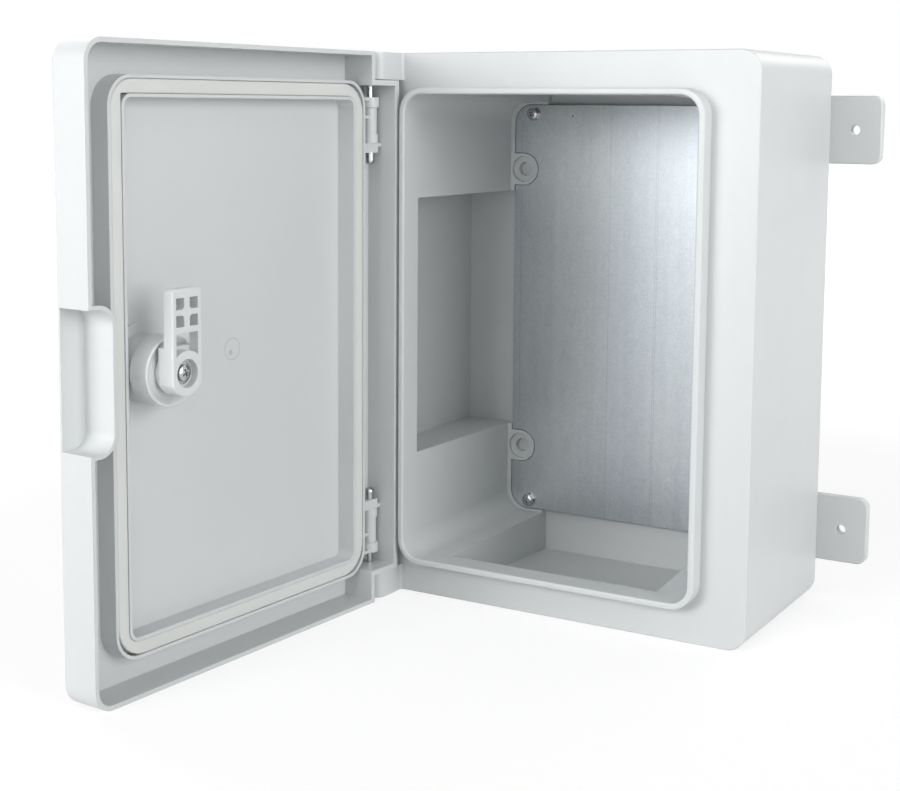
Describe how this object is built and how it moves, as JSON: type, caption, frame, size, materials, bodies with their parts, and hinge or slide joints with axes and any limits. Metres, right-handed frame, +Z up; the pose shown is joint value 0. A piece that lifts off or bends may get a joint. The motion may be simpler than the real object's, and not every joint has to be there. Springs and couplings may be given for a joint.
{
  "type": "electrical enclosure",
  "caption": "Light grey moulded plastic wall enclosure with a side-hung door shown open, foam gasket, galvanised mounting plate, cam lock and wall fixing lugs",
  "frame": {"origin": "centre of the four wall fixing holes, on the wall plane behind the box", "axes": "+X to the right seen from the front, +Y into the wall, +Z up"},
  "size_m": [0.374, 0.4655, 0.4],
  "materials": {
    "light_grey_plastic": "fine-textured moulded light grey plastic",
    "lock_plastic": "smooth cool grey-white plastic",
    "galvanised_sheet": "galvanised steel sheet with an upright brushed grain",
    "bright_steel": "bright plated steel",
    "foam_gasket": "warm grey closed-cell foam",
    "black_rubber": "black rubber"
  },
  "bodies": {
    "enclosure": {"body_shell": "light_grey_plastic", "mounting_plate": "galvanised_sheet", "plate_washers": "bright_steel", "plate_spring_washers": "bright_steel", "plate_screws": "bright_steel", "wall_lug_lower_left": "light_grey_plastic", "wall_lug_upper_left": "light_grey_plastic", "wall_lug_lower_right": "light_grey_plastic", "wall_lug_upper_right": "light_grey_plastic", "lug_screws": "bright_steel"},
    "door": {"door_panel": "light_grey_plastic", "door_gasket": "foam_gasket", "hinge_pin_upper": "bright_steel", "hinge_pin_lower": "bright_steel", "lock_housing": "lock_plastic", "lock_seal": "black_rubber", "lock_nut": "lock_plastic"},
    "latch": {"lock_rotor": "lock_plastic", "rotor_ring": "black_rubber", "lock_cam": "lock_plastic", "cam_washer": "bright_steel", "cam_screw": "bright_steel"}
  },
  "joints": [
    {"name": "door_hinge", "type": "hinge", "parent": "enclosure", "child": "door", "pos_m": [-0.137, -0.178, 0], "axis": [0, 0, 1], "range_deg": [-85.8, 94.2]},
    {"name": "latch_turn", "type": "hinge", "parent": "door", "child": "latch", "pos_m": [-0.15045, -0.40212, 0], "axis": [0.9973, -0.0732, 0], "range_deg": [0, 90]}
  ]
}
